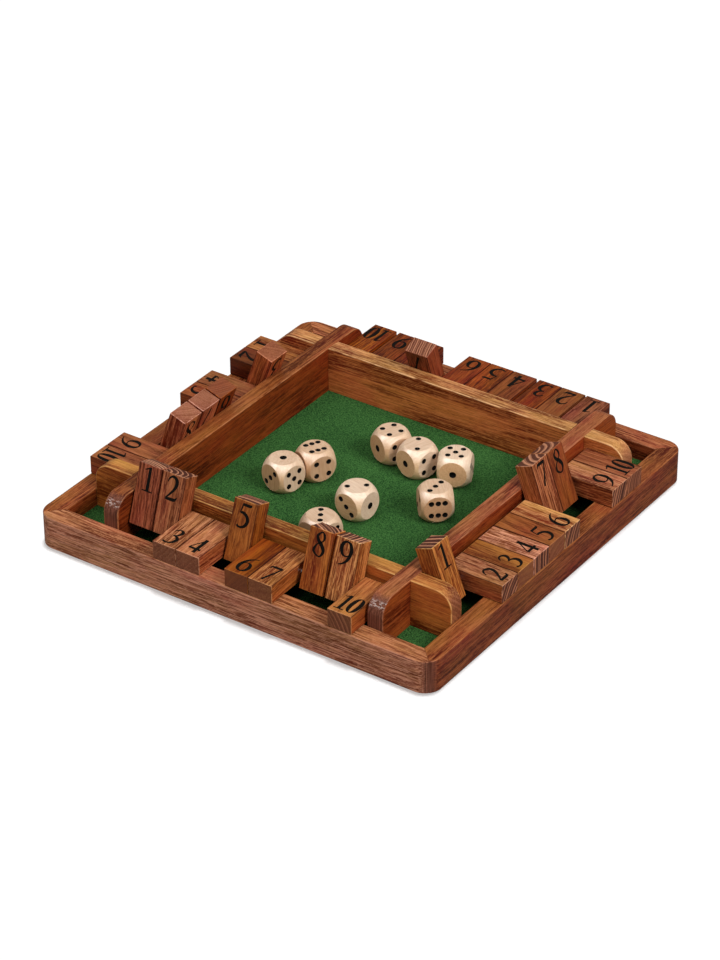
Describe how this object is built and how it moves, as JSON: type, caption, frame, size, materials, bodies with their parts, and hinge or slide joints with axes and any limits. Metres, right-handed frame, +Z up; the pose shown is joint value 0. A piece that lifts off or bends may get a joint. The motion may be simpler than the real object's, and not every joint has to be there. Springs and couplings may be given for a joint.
{
  "type": "shut the box game",
  "caption": "Square wooden dice game board with hinged number tiles along every side of a raised felt-lined tray, and rounded wooden dice.",
  "frame": {"origin": "middle of the underside, on the surface that the board stands on", "axes": "+Z up, +X to the right and +Y away as the first player sees the board, whose row of tiles counts up along +X"},
  "size_m": [0.305, 0.305, 0.0629],
  "materials": {
    "wood_dark": "oiled satin",
    "wood_red": "oiled satin",
    "wood_brown": "oiled satin",
    "wood_orange": "oiled satin",
    "wood_golden": "oiled satin",
    "wood_tan": "oiled satin",
    "wood_rose": "oiled satin",
    "wood_pale": "sanded smooth",
    "felt": "felt nap",
    "steel": "drawn bright"
  },
  "bodies": {
    "board": {"outer_rim": "wood_orange", "base_panel": "wood_brown", "felt_lining": "felt", "wall_south": "wood_orange", "rod_south": "steel", "wall_east": "wood_red", "rod_east": "steel", "wall_north": "wood_tan", "rod_north": "steel", "wall_west": "wood_brown", "rod_west": "steel"},
    "tile_south_1": {"tile_south_1": "wood_dark"},
    "tile_south_2": {"tile_south_2": "wood_dark"},
    "tile_south_3": {"tile_south_3": "wood_rose"},
    "tile_south_4": {"tile_south_4": "wood_tan"},
    "tile_south_5": {"tile_south_5": "wood_brown"},
    "tile_south_6": {"tile_south_6": "wood_golden"},
    "tile_south_7": {"tile_south_7": "wood_tan"},
    "tile_south_8": {"tile_south_8": "wood_orange"},
    "tile_south_9": {"tile_south_9": "wood_rose"},
    "tile_south_10": {"tile_south_10": "wood_golden"},
    "tile_east_1": {"tile_east_1": "wood_golden"},
    "tile_east_2": {"tile_east_2": "wood_rose"},
    "tile_east_3": {"tile_east_3": "wood_golden"},
    "tile_east_4": {"tile_east_4": "wood_rose"},
    "tile_east_5": {"tile_east_5": "wood_brown"},
    "tile_east_6": {"tile_east_6": "wood_golden"},
    "tile_east_7": {"tile_east_7": "wood_red"},
    "tile_east_8": {"tile_east_8": "wood_orange"},
    "tile_east_9": {"tile_east_9": "wood_tan"},
    "tile_east_10": {"tile_east_10": "wood_red"},
    "tile_north_1": {"tile_north_1": "wood_red"},
    "tile_north_2": {"tile_north_2": "wood_tan"},
    "tile_north_3": {"tile_north_3": "wood_orange"},
    "tile_north_4": {"tile_north_4": "wood_rose"},
    "tile_north_5": {"tile_north_5": "wood_brown"},
    "tile_north_6": {"tile_north_6": "wood_brown"},
    "tile_north_7": {"tile_north_7": "wood_dark"},
    "tile_north_8": {"tile_north_8": "wood_red"},
    "tile_north_9": {"tile_north_9": "wood_red"},
    "tile_north_10": {"tile_north_10": "wood_orange"},
    "tile_west_1": {"tile_west_1": "wood_brown"},
    "tile_west_2": {"tile_west_2": "wood_red"},
    "tile_west_3": {"tile_west_3": "wood_dark"},
    "tile_west_4": {"tile_west_4": "wood_brown"},
    "tile_west_5": {"tile_west_5": "wood_orange"},
    "tile_west_6": {"tile_west_6": "wood_red"},
    "tile_west_7": {"tile_west_7": "wood_rose"},
    "tile_west_8": {"tile_west_8": "wood_dark"},
    "tile_west_9": {"tile_west_9": "wood_red"},
    "tile_west_10": {"tile_west_10": "wood_red"},
    "die_1": {"die_1": "wood_pale"},
    "die_2": {"die_2": "wood_pale"},
    "die_3": {"die_3": "wood_pale"},
    "die_4": {"die_4": "wood_pale"},
    "die_5": {"die_5": "wood_pale"},
    "die_6": {"die_6": "wood_pale"},
    "die_7": {"die_7": "wood_pale"},
    "die_8": {"die_8": "wood_pale"}
  },
  "joints": [
    {"name": "turn_south_1", "type": "hinge", "parent": "board", "child": "tile_south_1", "pos_m": [-0.086, -0.11965, 0.0303], "axis": [-1, 0, 0], "range_deg": [-109.9, 0]},
    {"name": "turn_south_2", "type": "hinge", "parent": "board", "child": "tile_south_2", "pos_m": [-0.0671, -0.11965, 0.0303], "axis": [-1, 0, 0], "range_deg": [-109.9, 0]},
    {"name": "turn_south_3", "type": "hinge", "parent": "board", "child": "tile_south_3", "pos_m": [-0.04855, -0.11965, 0.0303], "axis": [-1, 0, 0], "range_deg": [0, 109.9]},
    {"name": "turn_south_4", "type": "hinge", "parent": "board", "child": "tile_south_4", "pos_m": [-0.03025, -0.11965, 0.0303], "axis": [-1, 0, 0], "range_deg": [0, 109.9]},
    {"name": "turn_south_5", "type": "hinge", "parent": "board", "child": "tile_south_5", "pos_m": [-0.01095, -0.11965, 0.0303], "axis": [-1, 0, 0], "range_deg": [-109.9, 0]},
    {"name": "turn_south_6", "type": "hinge", "parent": "board", "child": "tile_south_6", "pos_m": [0.00735, -0.11965, 0.0303], "axis": [-1, 0, 0], "range_deg": [0, 109.9]},
    {"name": "turn_south_7", "type": "hinge", "parent": "board", "child": "tile_south_7", "pos_m": [0.02565, -0.11965, 0.0303], "axis": [-1, 0, 0], "range_deg": [0, 109.9]},
    {"name": "turn_south_8", "type": "hinge", "parent": "board", "child": "tile_south_8", "pos_m": [0.0472, -0.11965, 0.0303], "axis": [-1, 0, 0], "range_deg": [-109.9, 0]},
    {"name": "turn_south_9", "type": "hinge", "parent": "board", "child": "tile_south_9", "pos_m": [0.0668, -0.11965, 0.0303], "axis": [-1, 0, 0], "range_deg": [-109.9, 0]},
    {"name": "turn_south_10", "type": "hinge", "parent": "board", "child": "tile_south_10", "pos_m": [0.08525, -0.11965, 0.0303], "axis": [-1, 0, 0], "range_deg": [0, 109.9]},
    {"name": "turn_east_1", "type": "hinge", "parent": "board", "child": "tile_east_1", "pos_m": [0.11965, -0.086, 0.0303], "axis": [0, -1, 0], "range_deg": [-109.9, 0]},
    {"name": "turn_east_2", "type": "hinge", "parent": "board", "child": "tile_east_2", "pos_m": [0.11965, -0.0634, 0.0303], "axis": [0, -1, 0], "range_deg": [0, 109.9]},
    {"name": "turn_east_3", "type": "hinge", "parent": "board", "child": "tile_east_3", "pos_m": [0.11965, -0.0451, 0.0303], "axis": [0, -1, 0], "range_deg": [0, 109.9]},
    {"name": "turn_east_4", "type": "hinge", "parent": "board", "child": "tile_east_4", "pos_m": [0.11965, -0.0268, 0.0303], "axis": [0, -1, 0], "range_deg": [0, 109.9]},
    {"name": "turn_east_5", "type": "hinge", "parent": "board", "child": "tile_east_5", "pos_m": [0.11965, -0.0082, 0.0303], "axis": [0, -1, 0], "range_deg": [0, 109.9]},
    {"name": "turn_east_6", "type": "hinge", "parent": "board", "child": "tile_east_6", "pos_m": [0.11965, 0.0104, 0.0303], "axis": [0, -1, 0], "range_deg": [0, 109.9]},
    {"name": "turn_east_7", "type": "hinge", "parent": "board", "child": "tile_east_7", "pos_m": [0.11965, 0.0287, 0.0303], "axis": [0, -1, 0], "range_deg": [-109.9, 0]},
    {"name": "turn_east_8", "type": "hinge", "parent": "board", "child": "tile_east_8", "pos_m": [0.11965, 0.047, 0.0303], "axis": [0, -1, 0], "range_deg": [-109.9, 0]},
    {"name": "turn_east_9", "type": "hinge", "parent": "board", "child": "tile_east_9", "pos_m": [0.11965, 0.0684, 0.0303], "axis": [0, -1, 0], "range_deg": [0, 109.9]},
    {"name": "turn_east_10", "type": "hinge", "parent": "board", "child": "tile_east_10", "pos_m": [0.11965, 0.0867, 0.0303], "axis": [0, -1, 0], "range_deg": [0, 109.9]},
    {"name": "turn_north_1", "type": "hinge", "parent": "board", "child": "tile_north_1", "pos_m": [0.0853, 0.11965, 0.0303], "axis": [1, 0, 0], "range_deg": [0, 109.9]},
    {"name": "turn_north_2", "type": "hinge", "parent": "board", "child": "tile_north_2", "pos_m": [0.0662, 0.11965, 0.0303], "axis": [1, 0, 0], "range_deg": [0, 109.9]},
    {"name": "turn_north_3", "type": "hinge", "parent": "board", "child": "tile_north_3", "pos_m": [0.0479, 0.11965, 0.0303], "axis": [1, 0, 0], "range_deg": [0, 109.9]},
    {"name": "turn_north_4", "type": "hinge", "parent": "board", "child": "tile_north_4", "pos_m": [0.0278, 0.11965, 0.0303], "axis": [1, 0, 0], "range_deg": [0, 109.9]},
    {"name": "turn_north_5", "type": "hinge", "parent": "board", "child": "tile_north_5", "pos_m": [0.0095, 0.11965, 0.0303], "axis": [1, 0, 0], "range_deg": [0, 109.9]},
    {"name": "turn_north_6", "type": "hinge", "parent": "board", "child": "tile_north_6", "pos_m": [-0.0088, 0.11965, 0.0303], "axis": [1, 0, 0], "range_deg": [0, 109.9]},
    {"name": "turn_north_7", "type": "hinge", "parent": "board", "child": "tile_north_7", "pos_m": [-0.0289, 0.11965, 0.0303], "axis": [1, 0, 0], "range_deg": [-109.9, 0]},
    {"name": "turn_north_8", "type": "hinge", "parent": "board", "child": "tile_north_8", "pos_m": [-0.0477, 0.11965, 0.0303], "axis": [1, 0, 0], "range_deg": [0, 109.9]},
    {"name": "turn_north_9", "type": "hinge", "parent": "board", "child": "tile_north_9", "pos_m": [-0.066, 0.11965, 0.0303], "axis": [1, 0, 0], "range_deg": [0, 109.9]},
    {"name": "turn_north_10", "type": "hinge", "parent": "board", "child": "tile_north_10", "pos_m": [-0.0864, 0.11965, 0.0303], "axis": [1, 0, 0], "range_deg": [0, 109.9]},
    {"name": "turn_west_1", "type": "hinge", "parent": "board", "child": "tile_west_1", "pos_m": [-0.11965, 0.08595, 0.0303], "axis": [0, 1, 0], "range_deg": [0, 109.9]},
    {"name": "turn_west_2", "type": "hinge", "parent": "board", "child": "tile_west_2", "pos_m": [-0.11965, 0.06765, 0.0303], "axis": [0, 1, 0], "range_deg": [0, 109.9]},
    {"name": "turn_west_3", "type": "hinge", "parent": "board", "child": "tile_west_3", "pos_m": [-0.11965, 0.04835, 0.0303], "axis": [0, 1, 0], "range_deg": [-109.9, 0]},
    {"name": "turn_west_4", "type": "hinge", "parent": "board", "child": "tile_west_4", "pos_m": [-0.11965, 0.02945, 0.0303], "axis": [0, 1, 0], "range_deg": [0, 109.9]},
    {"name": "turn_west_5", "type": "hinge", "parent": "board", "child": "tile_west_5", "pos_m": [-0.11965, 0.01115, 0.0303], "axis": [0, 1, 0], "range_deg": [0, 109.9]},
    {"name": "turn_west_6", "type": "hinge", "parent": "board", "child": "tile_west_6", "pos_m": [-0.11965, -0.00885, 0.0303], "axis": [0, 1, 0], "range_deg": [-109.9, 0]},
    {"name": "turn_west_7", "type": "hinge", "parent": "board", "child": "tile_west_7", "pos_m": [-0.11965, -0.02815, 0.0303], "axis": [0, 1, 0], "range_deg": [-109.9, 0]},
    {"name": "turn_west_8", "type": "hinge", "parent": "board", "child": "tile_west_8", "pos_m": [-0.11965, -0.04775, 0.0303], "axis": [0, 1, 0], "range_deg": [-109.9, 0]},
    {"name": "turn_west_9", "type": "hinge", "parent": "board", "child": "tile_west_9", "pos_m": [-0.11965, -0.06785, 0.0303], "axis": [0, 1, 0], "range_deg": [0, 109.9]},
    {"name": "turn_west_10", "type": "hinge", "parent": "board", "child": "tile_west_10", "pos_m": [-0.11965, -0.08625, 0.0303], "axis": [0, 1, 0], "range_deg": [0, 109.9]},
    {"name": "lift_die_1", "type": "slide", "parent": "board", "child": "die_1", "axis": [0, 0, 1], "range_m": [0, 0.06]},
    {"name": "lift_die_2", "type": "slide", "parent": "board", "child": "die_2", "axis": [0, 0, 1], "range_m": [0, 0.06]},
    {"name": "lift_die_3", "type": "slide", "parent": "board", "child": "die_3", "axis": [0, 0, 1], "range_m": [0, 0.06]},
    {"name": "lift_die_4", "type": "slide", "parent": "board", "child": "die_4", "axis": [0, 0, 1], "range_m": [0, 0.06]},
    {"name": "lift_die_5", "type": "slide", "parent": "board", "child": "die_5", "axis": [0, 0, 1], "range_m": [0, 0.06]},
    {"name": "lift_die_6", "type": "slide", "parent": "board", "child": "die_6", "axis": [0, 0, 1], "range_m": [0, 0.06]},
    {"name": "lift_die_7", "type": "slide", "parent": "board", "child": "die_7", "axis": [0, 0, 1], "range_m": [0, 0.06]},
    {"name": "lift_die_8", "type": "slide", "parent": "board", "child": "die_8", "axis": [0, 0, 1], "range_m": [0, 0.06]}
  ]
}
